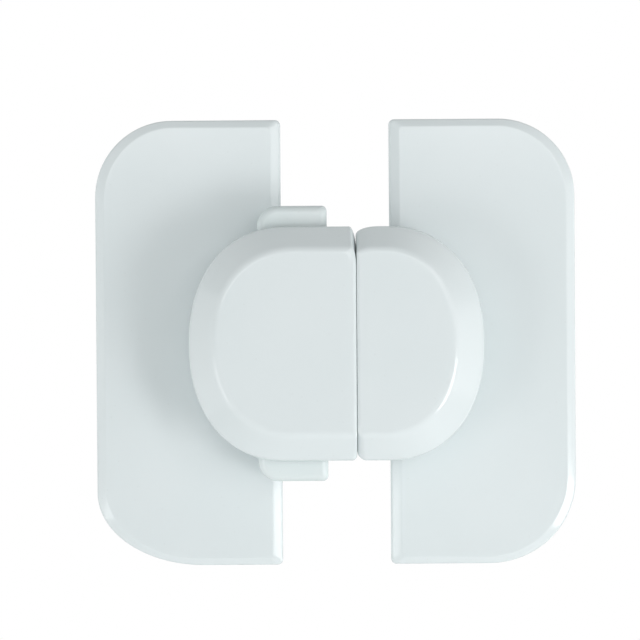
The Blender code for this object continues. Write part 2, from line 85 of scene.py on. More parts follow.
# Covers
BODY_ROUND = 18.2
BODY_PROFILE = 2 ** (-2 / 2.2)
BODY_BACK_BREAK = 0.15
SHOULDER = 15.5
LOCK_BROW = 4.7
STRIKE_BROW = 5.4
BROW_TOP = 4.2
BROW_BOTTOM = 4.9
BROW_SOFT = 1.0
SHOULDER_SOFT = 0.7
LOCK_SEAM_SOFT = (1.5, 0.5)
STRIKE_SEAM_SOFT = (0.9, 0.35)
SEAM_REACH = 0.12
WALL = 1.6
HOLLOW_BROW = 0.7
LONG_BOSS = 2.6
SHORT_BOSS = 1.9
LOCK_SEAM_CORNERS = ((1.3, 4.6), (1.0, 1.0))
STRIKE_SEAM_CORNERS = ((4.0, 1.5), (1.8, 1.8))

# Inside the lock
FLOOR_TOP = 6.3
NOTCH_LEFT = -10.3
NOTCH_HALF = 10.9
TONGUE_BACK = 9.5
TONGUE_FRONT = 12.5
TAB_LEFT = -14.8
TAB_RIGHT = -1.6
TAB_BACK = 7.3
TAB_FRONT = 13.2
CARRIAGE_FRONT = 14.7
BUTTON_INNER = 15.3
SPRING_X = -13.0
SPRING_HEIGHT = 10.5
SPRING_RADIUS = 1.9
SPRING_WIRE = 0.5
SPRING_NEAR = 2.3
SPRING_FAR = 15.0
SPRING_COILS = 7
PEG_RADIUS = 1.1
PEG_REACH = 2.5
PEG_END_SOFT = 0.3
SPRING_BLOCK_HALF = 2.0
HOOK_ARM = (-6.9, -1.9)

# Screws, as places (x, z)
LOCK_PLATE_SCREWS = ((-21.0, 9.5), (-21.0, -9.5), (-20.5, 0.0))
LOCK_CHASSIS_SCREWS = ((0.9, 12.7), (0.9, -12.7))
STRIKE_PLATE_SCREWS = ((19.5, 12.6), (19.5, -12.6), (23.8, 0.0))
TONGUE_SCREWS = ((15.5, 4.6), (15.5, -4.6))
LONG_RADIUS, LONG_HEAD = 1.1, 2.1
SHORT_RADIUS, SHORT_HEAD = 0.8, 1.5
HEAD_HEIGHT = 1.2
HEAD_FLOOR = 1.6
SHORT_HEAD_FLOOR = 2.8
LOCK_SCREW_TIP = 14.6
CHASSIS_SCREW_TIP = 12.5
STRIKE_SCREW_TIP = 12.0
TONGUE_SCREW_TIP = 8.8

Limits = namedtuple("Limits", "left right bottom top back front")


# ---------------------------------------------------------------- places

def at(x, z, height):
    """The place in metres of a point given in millimetres."""
    return ((x + MIDDLE) * MM, -height * MM, z * MM)


def millimetres(place):
    """x, z and height of a place in metres."""
    return place.x / MM - MIDDLE, place.z / MM, -place.y / MM


def limits(node):
    """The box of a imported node, in millimetres."""
    low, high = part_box(node)
    left, bottom, front = millimetres(low)
    right, top, back = millimetres(high)
    return Limits(left, right, bottom, top, back, front)


def within(span, amount):
    """The outline limits of a box, drawn in by an amount on every side."""
    return span.left + amount, span.right - amount, span.bottom + amount, span.top - amount


# ---------------------------------------------------------------- working on a mesh

def pick(kind, test):
    """Selects only the vertices, edges or faces whose middle passes test(x, z, height, direction)."""
    bpy.ops.mesh.select_mode(type=kind)
    bpy.ops.mesh.select_all(action="DESELECT")
    mesh = bpy.context.edit_object.data
    work = bmesh.from_edit_mesh(mesh)
    for part in {"VERT": work.verts, "EDGE": work.edges, "FACE": work.faces}[kind]:
        corners = [part] if kind == "VERT" else part.verts
        middle = sum((corner.co for corner in corners), Vector()) / len(corners)
        if kind == "EDGE":
            direction = (corners[1].co - corners[0].co).normalized()
        else:
            direction = part.normal
        if test(*millimetres(middle), direction):
            part.select_set(True)
    work.select_flush_mode()
    bmesh.update_edit_mesh(mesh)


def selected_limits():
    """Left, right, bottom, top and height of the selected vertices."""
    work = bmesh.from_edit_mesh(bpy.context.edit_object.data)
    places = [millimetres(corner.co) for corner in work.verts if corner.select]
    xs, zs, heights = zip(*places)
    return min(xs), max(xs), min(zs), max(zs), sum(heights) / len(heights)


def fit(left, right, bottom, top):
    """Stretches and moves what is selected until it reaches these limits."""
    old_left, old_right, old_bottom, old_top, height = selected_limits()
    middle_x, middle_z = (old_left + old_right) / 2, (old_bottom + old_top) / 2
    bpy.ops.transform.resize(
        value=((right - left) / (old_right - old_left), 1, (top - bottom) / (old_top - old_bottom)),
        center_override=at(middle_x, middle_z, height))
    bpy.ops.transform.translate(value=(((left + right) / 2 - middle_x) * MM, 0,
                                       ((bottom + top) / 2 - middle_z) * MM))


def grow(height, left, right, bottom, top):
    """Extrudes what is selected to a height, and fits it between new limits."""
    now = selected_limits()[-1]
    bpy.ops.mesh.extrude_region_move(TRANSFORM_OT_translate={"value": (0, (now - height) * MM, 0)})
    fit(left, right, bottom, top)


def flat(name, left, right, bottom, top, height):
    """A new rectangle that faces the front, open for editing and selected."""
    bpy.ops.object.select_all(action="DESELECT")
    bpy.ops.mesh.primitive_plane_add(size=MM, rotation=(math.pi / 2, 0, 0),
                                     location=at((left + right) / 2, (bottom + top) / 2, height))
    bpy.context.object.name = bpy.context.object.data.name = name
    bpy.ops.object.transform_apply(location=True, rotation=True, scale=True)
    bpy.ops.object.mode_set(mode="EDIT")
    fit(left, right, bottom, top)


def round_corner(x, z, wide, tall, segments, profile=0.5):
    """Rounds an outline's corner at (x, z) with an arc that is wide along x and tall along z."""
    pick("VERT", lambda px, pz, *_: abs(px - x) < TINY and abs(pz - z) < TINY)
    bpy.ops.mesh.bevel(affect="VERTICES", offset=tall * MM, offset_type="OFFSET", segments=segments,
                       profile=profile, clamp_overlap=False)
    if wide != tall:
        pick("VERT", lambda px, pz, *_: abs(px - x) < tall + TINY and abs(pz - z) < tall + TINY)
        bpy.ops.transform.resize(value=(wide / tall, 1, 1), center_override=at(x, z, 0))


def close():
    """Leaves edit mode with merged doubles and faces that point outwards."""
    piece = bpy.context.edit_object or bpy.context.object
    bpy.ops.object.mode_set(mode="EDIT")
    bpy.ops.mesh.select_mode(type="VERT")
    bpy.ops.mesh.select_all(action="SELECT")
    bpy.ops.mesh.remove_doubles(threshold=0.0005 * MM)
    bpy.ops.mesh.normals_make_consistent(inside=False)
    bpy.ops.object.mode_set(mode="OBJECT")
    return piece


def activate(piece):
    bpy.ops.object.select_all(action="DESELECT")
    piece.select_set(True)
    bpy.context.view_layer.objects.active = piece


def modify(piece, kind, **settings):
    """Adds one modifier and applies it."""
    activate(piece)
    bpy.ops.object.modifier_add(type=kind)
    modifier = piece.modifiers[-1]
    for name, value in settings.items():
        setattr(modifier, name, value)
    bpy.ops.object.modifier_apply(modifier=modifier.name)


def combine(piece, operation, tools):
    for tool in tools:
        modify(piece, "BOOLEAN", operation=operation, solver="EXACT", object=tool)
        bpy.data.objects.remove(tool)
    return piece


def carve(piece, *tools):
    """Cuts the tools out of a piece."""
    return combine(piece, "DIFFERENCE", tools)


def fuse(piece, *tools):
    """Makes the tools part of a piece."""
    return combine(piece, "UNION", tools)


def block(x_range, z_range, height_range, soft=0.0):
    """A bar between limits, its edges broken by a small bevel."""
    (left, right), (bottom, top), (back, front) = map(sorted, (x_range, z_range, height_range))
    flat("block", left, right, bottom, top, back)
    grow(front, left, right, bottom, top)
    if soft:
        bpy.ops.mesh.select_all(action="SELECT")
        bpy.ops.mesh.bevel(affect="EDGES", offset=soft * MM, segments=2)
    return close()


def slant(piece, test, rise):
    """Moves the corners of a piece that pass test(x, z, height, direction) towards the front by rise."""
    activate(piece)
    bpy.ops.object.mode_set(mode="EDIT")
    pick("VERT", test)
    bpy.ops.transform.translate(value=(0, -rise * MM, 0))
    return close()


def turned(name, x, z, profile, steps=28):
    """A round piece about the line through (x, z) towards the front, through (height, radius) pairs."""
    start, radius = profile[0]
    bpy.ops.object.select_all(action="DESELECT")
    bpy.ops.mesh.primitive_circle_add(vertices=steps, radius=radius * MM, fill_type="NGON",
                                      location=at(x, z, start), rotation=(math.pi / 2, 0, 0))
    bpy.context.object.name = bpy.context.object.data.name = name
    bpy.ops.object.transform_apply(location=True, rotation=True, scale=True)
    bpy.ops.object.mode_set(mode="EDIT")
    for height, radius in profile[1:]:
        grow(height, x - radius, x + radius, z - radius, z + radius)
    return close()


def pillar(x, z, radius, back, front):
    return turned("pillar", x, z, [(back, radius), (front, radius)])


def spring_peg(near, far):
    """A round peg on the springs' line, with rounded ends."""
    bpy.ops.object.select_all(action="DESELECT")
    bpy.ops.mesh.primitive_cylinder_add(vertices=24, radius=PEG_RADIUS * MM, depth=abs(far - near) * MM,
                                        location=at(SPRING_X, (near + far) / 2, SPRING_HEIGHT))
    bpy.ops.object.transform_apply(location=True, rotation=True, scale=True)
    bpy.ops.object.mode_set(mode="EDIT")
    pick("EDGE", lambda _, __, ___, along: abs(along.z) < 0.5)
    bpy.ops.mesh.bevel(affect="EDGES", offset=PEG_END_SOFT * MM, segments=3)
    return close()


def wound(name, radius, thickness, sides, pitches, steps):
    """A wire wound about the Z axis from the ground up, one turn for each pitch given."""
    coils, rise = [], 0.0
    for turns, pitch in pitches:
        bpy.ops.object.select_all(action="DESELECT")
        bpy.ops.mesh.primitive_circle_add(vertices=sides, radius=thickness * MM / 2, fill_type="NOTHING",
                                          location=(radius * MM, 0, rise * MM), rotation=(math.pi / 2, 0, 0))
        coil = bpy.context.object
        bpy.ops.object.transform_apply(location=True, rotation=True, scale=True)
        modify(coil, "SCREW", angle=2 * math.pi, screw_offset=pitch * MM, iterations=turns,
               steps=steps, render_steps=steps)
        coils.append(coil)
        rise += turns * pitch
    for coil in coils:
        coil.select_set(True)
    if len(coils) > 1:
        bpy.ops.object.join()
    wire = bpy.context.object
    wire.name = wire.data.name = name
    bpy.ops.object.mode_set(mode="EDIT")
    bpy.ops.mesh.select_mode(type="VERT")
    bpy.ops.mesh.select_all(action="SELECT")
    bpy.ops.mesh.remove_doubles(threshold=0.005 * MM)
    bpy.ops.mesh.fill_holes(sides=0)
    return close()


def carry(piece, shift=(0, 0, 0), scale=(1, 1, 1)):
    """Moves or mirrors a piece, and writes the change into its mesh."""
    activate(piece)
    piece.location, piece.scale = shift, scale
    bpy.ops.object.transform_apply(location=True, rotation=True, scale=True)
    return piece


def again(piece, name):
    """A copy with its own mesh."""
    activate(piece)
    bpy.ops.object.duplicate(linked=False)
    copy = bpy.context.object
    copy.name = copy.data.name = name
    return copy


# ---------------------------------------------------------------- plates and pads

def bow(corner, before, after, steps):
    """Points of a soft corner between two flanks."""
    return [(1 - t) ** 2 * before + 2 * t * (1 - t) * corner + t ** 2 * after
            for t in (step / steps for step in range(steps + 1))]


def plate_outline(name, node, side, bottom_corner, inset, height):
    """The outline of a plate or its pad: big outer corners, nearly square ones beside the gap."""
    span = limits(node)
    outer, inner = (span.left, span.right) if side < 0 else (span.right, span.left)
    flat(name, *span[:4], height)
    round_corner(outer, span.top, TOP_CORNER - inset, TOP_CORNER - inset, 24)
    round_corner(outer, span.bottom, *(size - inset for size in bottom_corner), 24)
    small = INNER_CORNER if inset < INNER_CORNER else PAD_INNER_CORNER
    for z in (span.bottom, span.top):
        round_corner(inner, z, small, small, 6)
    bpy.ops.mesh.select_all(action="SELECT")
    return span


def base_plate(name, node, side, bottom_corner, screws):
    """A plate with a shallow sloped rim in front, a recess for its pad, and counterbored screw holes."""
    span = plate_outline(name, node, side, bottom_corner, 0.0, PAD_RECESS_FLOOR)
    fit(*within(span, PAD_RECESS_INSET))
    grow(span.back, *within(span, PAD_RECESS_INSET))
    grow(span.back, *within(span, EDGE_BREAK))
    grow(span.back + EDGE_BREAK, *within(span, 0.0))
    left, right = (RIM_OUTER, RIM_INNER) if side < 0 else (RIM_INNER, RIM_OUTER)
    edge, crest = Vector((span.front - RIM_DROP, 0.0)), Vector((span.front, 1.0))
    slope = crest - edge
    rings = bow(edge, edge - Vector((RIM_EDGE_FALL, 0.0)), edge + RIM_EDGE_SHARE * slope, 5)
    rings += bow(crest, crest - RIM_CREST_SHARE * slope, crest + Vector((0.0, RIM_CREST_RUN)), 4)
    for height, share in rings:
        grow(height, span.left + left * share, span.right - right * share,
             span.bottom + RIM_ENDS * share, span.top - RIM_ENDS * share)
    plate = close()
    seat = HEAD_FLOOR + HEAD_HEIGHT + GAP
    for x, z in screws:
        carve(plate, turned("hole", x, z, [(0.0, LONG_HEAD + GAP), (seat, LONG_HEAD + GAP),
                                           (seat, LONG_RADIUS + GAP), (span.front + 1, LONG_RADIUS + GAP)]))
    return plate


def foam_pad(name, node, side, bottom_corner):
    """A die-cut pad of double-sided foam tape, whose cut edge draws in a little between its two skins."""
    span = plate_outline(name, node, side, bottom_corner, PAD_RECESS_INSET + GAP, 0.0)
    for height, inset in ((0.12, 0.0), (0.5, 0.06), (span.front - span.back, 0.0)):
        grow(height, *within(span, inset))
    return close()


# ---------------------------------------------------------------- covers

def body_outline(name, seam, end, top, corners, height):
    """A D: a straight seam edge with its own two corners, and a rounded far end."""
    flat(name, min(seam, end), max(seam, end), -BODY_ROUND, BODY_ROUND, height)
    for z in (-BODY_ROUND, BODY_ROUND):
        round_corner(end, z, BODY_ROUND * 0.9995, BODY_ROUND * 0.9995, 32, BODY_PROFILE)
    bpy.ops.mesh.select_all(action="SELECT")
    bpy.ops.mesh.remove_doubles(threshold=0.05 * MM)
    fit(min(seam, end), max(seam, end), -top, top)
    for z, (wide, tall) in zip((top, -top), corners):
        round_corner(seam, z, wide, tall, 10)
    bpy.ops.mesh.select_all(action="SELECT")


def body_section(front, brow_end):
    """The outer surface from its shoulder to its face: height, and the insets at the end, top and bottom."""
    shoulder = Vector((SHOULDER, 0, 0, 0))
    brow = Vector((front, brow_end, BROW_TOP, BROW_BOTTOM))
    slope = (brow - shoulder) / Vector((front - SHOULDER, brow_end)).length
    inward = Vector((0, 1, BROW_TOP / brow_end, BROW_BOTTOM / brow_end))
    rings = bow(shoulder, shoulder - Vector((SHOULDER_SOFT, 0, 0, 0)), shoulder + SHOULDER_SOFT * slope, 6)
    return rings + bow(brow, brow - BROW_SOFT * slope, brow + BROW_SOFT * inward, 16)


def cover(name, node, side, corners, seam_soft, brow_end, inner_solids, cuts):
    """A D-shaped cap, open at its back, with a sloped brow, and bosses and ribs in its hollow."""
    span = limits(node)
    seam, end = (span.right, span.left) if side < 0 else (span.left, span.right)

    def section(seam_inset, end_inset, top_inset, bottom_inset):
        edges = sorted((seam + side * seam_inset, end - side * end_inset))
        return *edges, span.bottom + bottom_inset, span.top - top_inset

    def ring(height, *insets):
        grow(height, *section(*insets))

    body_outline("hollow", seam, end, span.top, corners, 0.0)
    fit(*section(*[WALL] * 4))
    ring(SHOULDER - GAP, *[WALL] * 4)
    ring(span.front - WALL, WALL, brow_end + HOLLOW_BROW, BROW_TOP + HOLLOW_BROW, BROW_BOTTOM + HOLLOW_BROW)
    hollow = carve(close(), *inner_solids)

    body_outline(name, seam, end, span.top, corners, span.back)
    fit(*section(*[BODY_BACK_BREAK] * 4))
    ring(span.back + BODY_BACK_BREAK, -SEAM_REACH, 0, 0, 0)
    wide, drop = seam_soft
    for height, *insets in body_section(span.front, brow_end):
        rise = max(1 - (span.front - height) / drop, 0)
        ring(height, wide * (1 - math.sqrt(max(1 - rise ** 2, 0))) - SEAM_REACH, *insets)
    shell = carve(close(), hollow)
    slot = block((seam - side, seam + side * (WALL + 1)), (-NOTCH_HALF, NOTCH_HALF), (0.0, TONGUE_FRONT + GAP))
    return carve(shell, slot, *cuts)


def bosses(places, radius, back, front):
    return [pillar(x, z, radius, back, front + 1) for x, z in places]


def pilot_holes(places, radius, tip):
    return [pillar(x, z, radius + GAP, 0.0, tip + 0.5) for x, z in places]


def lock_cover():
    front = limits("lock_cover").front
    inner = bosses(LOCK_PLATE_SCREWS, LONG_BOSS, FLOOR_TOP + GAP, front)
    inner += bosses(LOCK_CHASSIS_SCREWS, SHORT_BOSS, FLOOR_TOP + GAP, front)
    inner.append(block((-9.6, -8.4), (-9.0, 9.0), (TONGUE_FRONT + GAP, front + 1)))
    inner += [block((-12.0, -11.0), (side * 14.0, side * 18.0), (CARRIAGE_FRONT + GAP, front + 1))
              for side in (-1, 1)]
    cuts = [block((TAB_LEFT - GAP, TAB_RIGHT + GAP), (side * 19.0, side * 23.0), (TAB_BACK - GAP, TAB_FRONT + GAP))
            for side in (-1, 1)]
    cuts += pilot_holes(LOCK_PLATE_SCREWS, LONG_RADIUS, LOCK_SCREW_TIP)
    cuts += pilot_holes(LOCK_CHASSIS_SCREWS, SHORT_RADIUS, CHASSIS_SCREW_TIP)
    return cover("lock_cover_shell", "lock_cover", -1, LOCK_SEAM_CORNERS, LOCK_SEAM_SOFT, LOCK_BROW, inner, cuts)


def strike_cover():
    span = limits("strike_cover")
    return cover("strike_cover_shell", "strike_cover", 1, STRIKE_SEAM_CORNERS, STRIKE_SEAM_SOFT, STRIKE_BROW,
                 bosses(STRIKE_PLATE_SCREWS, LONG_BOSS, span.back, span.front),
                 pilot_holes(STRIKE_PLATE_SCREWS, LONG_RADIUS, STRIKE_SCREW_TIP))


# ---------------------------------------------------------------- inside the lock

def lock_floor():
    """The chassis: floor, spring block, guides, pegs, and the notch that the tongue leaves by."""
    span = limits("lock_chassis")
    body_outline("lock_floor", span.right, span.left, span.top, ((1.0, 1.0), (1.0, 1.0)), span.back)
    for height, inset in ((span.back + BODY_BACK_BREAK, 0.0), (FLOOR_TOP - BODY_BACK_BREAK, 0.0),
                          (FLOOR_TOP, BODY_BACK_BREAK)):
        grow(height, *within(span, inset))
    floor = carve(close(), block((NOTCH_LEFT, span.right + 1), (-NOTCH_HALF, NOTCH_HALF), (0.0, FLOOR_TOP + 1)))
    fuse(floor, block((SPRING_X - 2.4, SPRING_X + 2.4), (-SPRING_BLOCK_HALF, SPRING_BLOCK_HALF),
                      (span.back + 1, SPRING_HEIGHT + 2.2), 0.25))
    for side in (-1, 1):
        fuse(floor, block((-18.0, -17.2), (side * 12.6, side * 16.4), (span.back + 1, CARRIAGE_FRONT), 0.2),
             spring_peg(side * 1.0, side * (SPRING_BLOCK_HALF + PEG_REACH)))
    return carve(floor, *pilot_holes(LOCK_PLATE_SCREWS, LONG_RADIUS, FLOOR_TOP),
                 *pilot_holes(LOCK_CHASSIS_SCREWS, SHORT_RADIUS, FLOOR_TOP))


def upper_slider():
    """A button: the tab outside, its carriage and shoulders inside, and the arm with its leg and hook."""
    span = limits("upper_button")
    flat("upper_squeeze_button", TAB_LEFT, TAB_RIGHT, BUTTON_INNER, span.top, TAB_BACK)
    round_corner(TAB_LEFT, span.top, 3.8, 3.8, 14)
    round_corner(TAB_RIGHT, span.top, 1.0, 1.0, 8)
    bpy.ops.mesh.select_all(action="SELECT")

    def inset(amount):
        return TAB_LEFT + amount, TAB_RIGHT - amount, BUTTON_INNER, span.top - amount

    back_soft, front_soft, steps = 0.6, 1.35, 9
    fit(*inset(back_soft))
    for step in range(1, 5):
        turn = math.pi / 2 * step / 4
        grow(TAB_BACK + back_soft * (1 - math.cos(turn)), *inset(back_soft * (1 - math.sin(turn))))
    for step in range(steps + 1):
        turn = math.pi / 2 * step / steps
        grow(TAB_FRONT - front_soft * (1 - math.sin(turn)), *inset(front_soft * (1 - math.cos(turn))))
    tab = close()
    hook = slant(block(HOOK_ARM, (5.2, 8.4), (7.4, TONGUE_BACK - GAP)),
                 lambda _, z, height, __: z > 8 and height < 8, 1.3)
    return fuse(
        tab,
        block((TAB_LEFT, TAB_RIGHT), (BUTTON_INNER, 19.2), (TAB_BACK + 1, CARRIAGE_FRONT), 0.25),
        block((-16.8, TAB_LEFT + 1), (BUTTON_INNER, 18.2), (TAB_BACK + 1, CARRIAGE_FRONT - 1), 0.25),
        block((TAB_RIGHT - 1, 1.6), (17.9, 20.1), (TAB_BACK + 1, CARRIAGE_FRONT - 1), 0.25),
        block(HOOK_ARM, (3.3, BUTTON_INNER + 1), (12.9, CARRIAGE_FRONT - 0.2), 0.2),
        block(HOOK_ARM, (3.3, 5.4), (7.4, 13.9), 0.2),
        hook,
        spring_peg(BUTTON_INNER - PEG_REACH, BUTTON_INNER + 1))


def upper_coil():
    """A compression spring with closed ends, standing between the chassis's block and the button."""
    closed = 1.15 * SPRING_WIRE
    pitch = (SPRING_FAR - SPRING_NEAR - SPRING_WIRE - 2 * closed) / SPRING_COILS
    coil = wound("upper_coil_spring", SPRING_RADIUS, SPRING_WIRE, 12,
                 ((1, closed), (SPRING_COILS, pitch), (1, closed)), 28)
    return carry(coil, at(SPRING_X, SPRING_NEAR + SPRING_WIRE / 2, SPRING_HEIGHT))


# ---------------------------------------------------------------- tongue and screws

def tongue():
    """A foot on the plate, a riser behind the seam, and a flat arm with a window for the hooks."""
    span = limits("strike_tongue")
    arm = block((span.left, 9.4), (span.bottom, span.top), (TONGUE_BACK, TONGUE_FRONT), 0.25)
    arm.name = arm.data.name = "window_tongue"
    fuse(arm,
         block((7.0, 9.4), (span.bottom, span.top), (span.back, TONGUE_FRONT - 0.5), 0.25),
         block((8.0, span.right), (-8.6, 8.6), (span.back, 7.6), 0.25))
    for z in (-7.9, 0.0, 7.9):
        rib = block((8.4, 12.4), (z - 0.6, z + 0.6), (6.6, 11.0))
        fuse(arm, slant(rib, lambda x, _, height, __: x > 12 and height > 10, -3.4))
    lead = slant(block((-13.0, -8.8), (-12.0, 12.0), (5.5, 9.5)),
                 lambda x, _, height, __: x < -12 and height > 9, 4.2)
    carve(arm, lead, block((-7.5, -1.3), (-6.5, 6.5), (0.0, TONGUE_FRONT + 1)))
    return carve(arm, *pilot_holes(TONGUE_SCREWS, LONG_RADIUS, 8.0))


def screw(name, start, tip, radius, head):
    """A pan-head screw on the line x = z = 0 that points to the front, with a cross recess and a thread."""
    neck = start + HEAD_HEIGHT
    shank = turned(name, 0, 0, [
        (start, 0.5 * head), (start + 0.06, 0.7 * head), (start + 0.2, 0.86 * head), (start + 0.45, 0.96 * head),
        (start + 0.75, head), (neck - 0.1, head), (neck, 0.95 * head), (neck + 0.02, 0.78 * radius),
        (tip - 1.3 * radius, 0.78 * radius), (tip, 0.15 * radius)], 32)
    arm, slot = 0.52 * head, 0.11 * head
    carve(shank, block((-arm, arm), (-slot, slot), (start - 1, start + 0.55)),
          block((-slot, slot), (-arm, arm), (start - 1, start + 0.55)))
    pitch = 0.75 * radius
    turns = int((tip - neck - 1.6 * radius) / pitch)
    thread = wound("thread", 0.8 * radius, 0.4 * radius, 3, ((turns, pitch),), 24)
    activate(thread)
    thread.rotation_euler = (math.pi / 2, 0, 0)
    thread.location = at(0, 0, neck + 0.3 * radius)
    bpy.ops.object.transform_apply(location=True, rotation=True, scale=True)
    return fuse(shank, thread)


# ---------------------------------------------------------------- finishes

class Wire:
    """A socket that can be used in a sum: every sum adds its own Math node."""

    def __init__(self, finish, socket):
        self.finish, self.socket = finish, socket

    def _math(self, operation, first, second):
        return self.finish.add("ShaderNodeMath", {"operation": operation}, {0: first, 1: second})

    def __add__(self, other):
        return self._math("ADD", self, other)

    def __sub__(self, other):
        return self._math("SUBTRACT", self, other)

    def __rsub__(self, other):
        return self._math("SUBTRACT", other, self)

    def __mul__(self, other):
        return self._math("MULTIPLY", self, other)

    __radd__, __rmul__ = __add__, __mul__


class Finish:
    """A material being written: constants go on the shader, and add() makes every other node."""

    def __init__(self, name, **constants):
        self.material = bpy.data.materials.new(name)
        self.material.use_nodes = True
        self.tree = self.material.node_tree
        self.shader = self.tree.nodes["Principled BSDF"]
        for socket, value in constants.items():
            self.shader.inputs[socket.replace("_", " ")].default_value = value

    def add(self, kind, settings, sockets, output=0):
        node = self.tree.nodes.new(kind)
        for name, value in settings.items():
            setattr(node, name, value)
        for name, value in sockets.items():
            if isinstance(value, Wire):
                self.tree.links.new(value.socket, node.inputs[name])
            else:
                node.inputs[name].default_value = value
        return Wire(self, node.outputs[output])

    def feed(self, socket, wire):
        self.tree.links.new(wire.socket, self.shader.inputs[socket])

    def place(self, stretch=(1, 1, 1), turn=(0, 0, 0)):
        where = self.add("ShaderNodeTexCoord", {}, {}, "Object")
        return self.add("ShaderNodeMapping", {}, {"Vector": where, "Scale": stretch, "Rotation": turn})

    def clouds(self, size, detail=2.0, place=None):
        """Soft noise from 0 to 1, with patches about size millimetres across."""
        return self.add("ShaderNodeTexNoise", {}, {"Vector": place or self.place(), "Scale": 1000 / size,
                                                   "Detail": detail})

    def cells(self, size, place=None):
        """Distance from the nearest of many seeds about size millimetres apart."""
        return self.add("ShaderNodeTexVoronoi", {}, {"Vector": place or self.place(), "Scale": 1000 / size})

    def ramp(self, value, low, high, at_low=0.0, at_high=1.0):
        """A value between two levels stretched to new ends, and held there outside them."""
        return self.add("ShaderNodeMapRange", {"interpolation_type": "SMOOTHSTEP"},
                        {"Value": value, "From Min": low, "From Max": high, "To Min": at_low, "To Max": at_high})

    def blend(self, amount, first, second):
        """One colour where amount is 0 and another where it is 1."""
        return self.add("ShaderNodeMix", {"data_type": "RGBA"}, {0: amount, 6: first, 7: second}, 2)

    def relief(self, height, depth, strength=1.0, under=None):
        """A bump whose full height is depth millimetres."""
        sockets = {"Height": height, "Distance": depth * MM, "Strength": strength}
        if under:
            sockets["Normal"] = under
        return self.add("ShaderNodeBump", {}, sockets)


def moulded_plastic(name, light, shade, roughness, peel, scuff, **constants):
    """Injection-moulded plastic: faint flow clouds, fine skin, specks in the colour, and hairline scuffs."""
    finish = Finish(name, **constants)
    flow = finish.clouds(26, 3)
    skin = finish.clouds(1.6, 2)
    grain = finish.clouds(0.22, 1)
    specks = finish.ramp(finish.cells(2.4), 0.10, 0.04)
    hairs = finish.ramp(finish.clouds(0.5, 2, finish.place((1, 1, 0.08), (0, 0.5, 0))), 0.66, 0.76)
    cross_hairs = finish.ramp(finish.clouds(0.6, 2, finish.place((0.08, 1, 1), (0, 0.35, 0))), 0.67, 0.77)
    rubbed = finish.ramp(finish.clouds(14, 2), 0.48, 0.62)
    scratches = (hairs + cross_hairs) * rubbed
    colour = finish.blend(finish.ramp(flow, 0.3, 0.7), (*light, 1), (*shade, 1))
    colour = finish.blend(specks * 0.05, colour, (0.36, 0.35, 0.32, 1))
    finish.feed("Base Color", colour)
    finish.feed("Roughness", roughness + 0.05 * (skin - 0.5) + 0.06 * (flow - 0.5) + scuff * scratches)
    surface = finish.relief(skin, peel)
    surface = finish.relief(grain, peel * 0.12, under=surface)
    finish.feed("Normal", finish.relief(1 - scratches, 0.0006, 0.5, surface))
    return finish.material


def foam_tape():
    """Closed-cell foam: bright cell walls, darker cells, and a soft uneven face."""
    finish = Finish("foam_tape_cells", IOR=1.4)
    cell = finish.cells(0.55)
    deep = finish.cells(1.3)
    patch = finish.clouds(9, 2)
    finish.feed("Base Color", finish.blend(finish.ramp(cell, 0.15, 0.6) * 0.5 + 0.3 * patch,
                                           (0.74, 0.74, 0.70, 1), (0.88, 0.88, 0.86, 1)))
    finish.feed("Roughness", 0.82 + 0.12 * patch)
    finish.feed("Normal", finish.relief(cell, 0.09, under=finish.relief(deep, 0.06)))
    return finish.material


def bare_metal(name, light, shade, roughness, line, stretch):
    """Drawn or plated metal: tone clouds, fine lines along one direction, and small dull spots."""
    finish = Finish(name, Metallic=1.0)
    tone = finish.clouds(1.8, 2)
    lines = finish.clouds(0.16, 2, finish.place(stretch))
    spots = finish.ramp(finish.clouds(0.5, 3), 0.6, 0.7)
    finish.feed("Base Color", finish.blend(finish.ramp(tone, 0.3, 0.7), (*light, 1), (*shade, 1)))
    finish.feed("Roughness", roughness + 0.12 * (lines - 0.5) + 0.12 * spots)
    finish.feed("Normal", finish.relief(lines, line))
    return finish.material


def floor_paint():
    finish = Finish("studio_floor_paint", Roughness=0.8)
    finish.feed("Base Color", finish.blend(finish.clouds(300, 1), (0.84, 0.85, 0.85, 1), (0.88, 0.89, 0.89, 1)))
    return finish.material


# ---------------------------------------------------------------- putting it together

GLOSSY_WHITE = moulded_plastic("glossy_white_housing", (0.807, 0.862, 0.872), (0.786, 0.846, 0.856),
                               0.13, 0.006, 0.12, IOR=1.5)
BUTTON_WHITE = moulded_plastic("satin_white_button", (0.791, 0.848, 0.850), (0.755, 0.832, 0.834),
                               0.17, 0.007, 0.14, IOR=1.5)
INNER_WHITE = moulded_plastic("inner_white_plastic", (0.74, 0.76, 0.74), (0.70, 0.72, 0.70),
                              0.42, 0.020, 0.12, IOR=1.49)
TONGUE_WHITE = moulded_plastic("tongue_white_plastic", (0.78, 0.80, 0.79), (0.75, 0.77, 0.76),
                               0.34, 0.016, 0.22, IOR=1.49)
FOAM = foam_tape()
SPRING_STEEL = bare_metal("drawn_spring_steel", (0.60, 0.60, 0.61), (0.46, 0.46, 0.48), 0.28, 0.004, (1, 1, 0.2))
ZINC = bare_metal("zinc_plated_steel", (0.70, 0.71, 0.74), (0.58, 0.58, 0.60), 0.34, 0.003, (1, 0.3, 1))


def fasten(piece, node, body, material, sharp=30):
    """Shades a finished piece, gives it its material, and lets it stand for its node on its body."""
    activate(piece)
    close()
    piece.data.materials.clear()
    piece.data.materials.append(material)
    bpy.ops.object.shade_smooth_by_angle(angle=math.radians(sharp))
    modify(piece, "WEIGHTED_NORMAL", mode="FACE_AREA_WITH_ANGLE", weight=50, keep_sharp=True)
    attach(piece, body)
    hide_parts(node)


